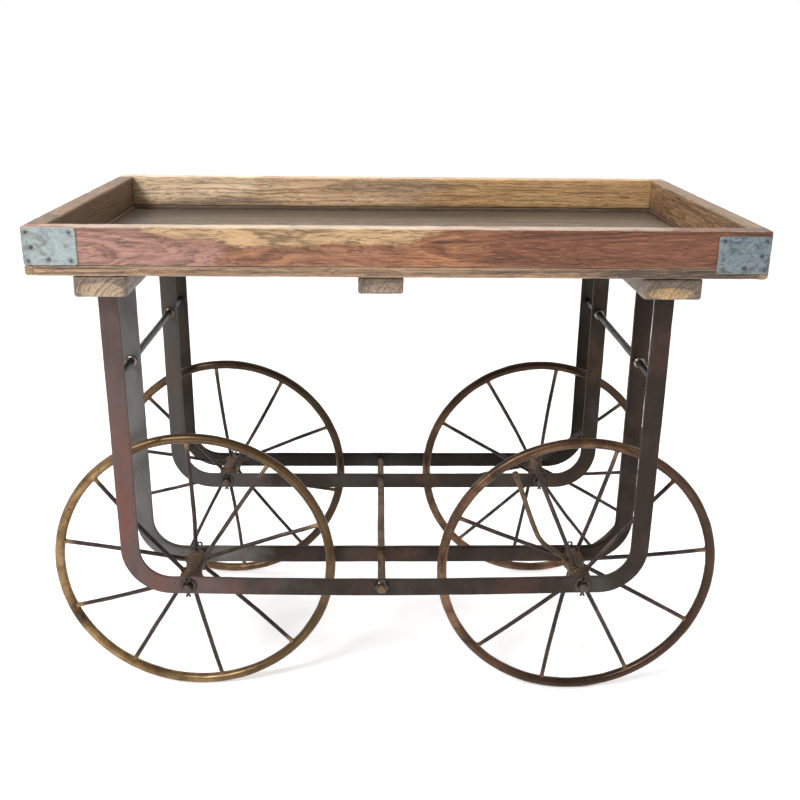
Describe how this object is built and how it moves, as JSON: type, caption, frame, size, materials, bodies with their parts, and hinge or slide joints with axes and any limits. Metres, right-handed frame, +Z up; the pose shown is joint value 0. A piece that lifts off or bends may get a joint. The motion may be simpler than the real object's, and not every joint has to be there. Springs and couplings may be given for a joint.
{
  "type": "garden cart",
  "caption": "Open wooden tray on bearers over U-shaped flat-iron frames, with spoked round-rod wheels turning on fixed axles.",
  "frame": {"origin": "on the ground, midway between the front wheels in X and under the tray's middle in Y", "axes": "+X right along the tray's length, +Y from front to back, parallel to the axles, +Z up"},
  "size_m": [1.21, 0.655, 0.8949],
  "materials": {
    "tray_boards": "old hardwood, waxed and worn",
    "base_strips": "old hardwood, worn",
    "floor_planks": "old hardwood, dull",
    "bearers": "old hardwood, worn",
    "zinc_plates": "weathered galvanised sheet",
    "nails": "dark, rusted",
    "flat_iron": "dark mill scale with rust, waxed",
    "rods": "rusty, waxed",
    "fixings": "dark steel",
    "axles": "worn steel",
    "hubs": "rusty",
    "rims": "bronze-brown patina",
    "spokes": "dark, waxed"
  },
  "bodies": {
    "cart": {"front_board": "tray_boards", "back_board": "tray_boards", "left_end_board": "tray_boards", "right_end_board": "tray_boards", "front_base_strip": "base_strips", "back_base_strip": "base_strips", "left_base_strip": "base_strips", "right_base_strip": "base_strips", "floor_plank_1": "floor_planks", "floor_plank_2": "floor_planks", "floor_plank_3": "floor_planks", "floor_plank_4": "floor_planks", "floor_plank_5": "floor_planks", "left_bearer": "bearers", "centre_bearer": "bearers", "right_bearer": "bearers", "front_left_corner_plate": "zinc_plates", "front_right_corner_plate": "zinc_plates", "back_left_corner_plate": "zinc_plates", "back_right_corner_plate": "zinc_plates", "plate_nails": "nails", "board_nails": "nails", "floor_nails": "nails", "base_nails": "nails", "front_outer_frame": "flat_iron", "front_inner_frame": "flat_iron", "rear_inner_frame": "flat_iron", "rear_outer_frame": "flat_iron", "centre_tie_rod": "rods", "left_tie_rod": "rods", "right_tie_rod": "rods", "centre_rod_nuts": "fixings", "side_rod_collars": "fixings", "foot_screws": "fixings", "axle_washers": "fixings", "hub_washers": "fixings", "split_pins": "fixings", "front_left_axle": "axles", "front_right_axle": "axles", "rear_left_axle": "axles", "rear_right_axle": "axles"},
    "front_left_wheel": {"front_left_hub": "hubs", "front_left_rim": "rims", "front_left_spokes": "spokes"},
    "front_right_wheel": {"front_right_hub": "hubs", "front_right_rim": "rims", "front_right_spokes": "spokes", "front_right_loose_spoke": "spokes"},
    "rear_left_wheel": {"rear_left_hub": "hubs", "rear_left_rim": "rims", "rear_left_spokes": "spokes"},
    "rear_right_wheel": {"rear_right_hub": "hubs", "rear_right_rim": "rims", "rear_right_spokes": "spokes"}
  },
  "joints": [
    {"name": "front_left_wheel_spin", "type": "hinge", "parent": "cart", "child": "front_left_wheel", "pos_m": [-0.349, -0.2215, 0.256], "axis": [0, 1, 0], "continuous": true},
    {"name": "front_right_wheel_spin", "type": "hinge", "parent": "cart", "child": "front_right_wheel", "pos_m": [0.349, -0.2215, 0.256], "axis": [0, 1, 0], "continuous": true},
    {"name": "rear_left_wheel_spin", "type": "hinge", "parent": "cart", "child": "rear_left_wheel", "pos_m": [-0.345, 0.2335, 0.256], "axis": [0, 1, 0], "continuous": true},
    {"name": "rear_right_wheel_spin", "type": "hinge", "parent": "cart", "child": "rear_right_wheel", "pos_m": [0.342, 0.2335, 0.256], "axis": [0, 1, 0], "continuous": true}
  ]
}
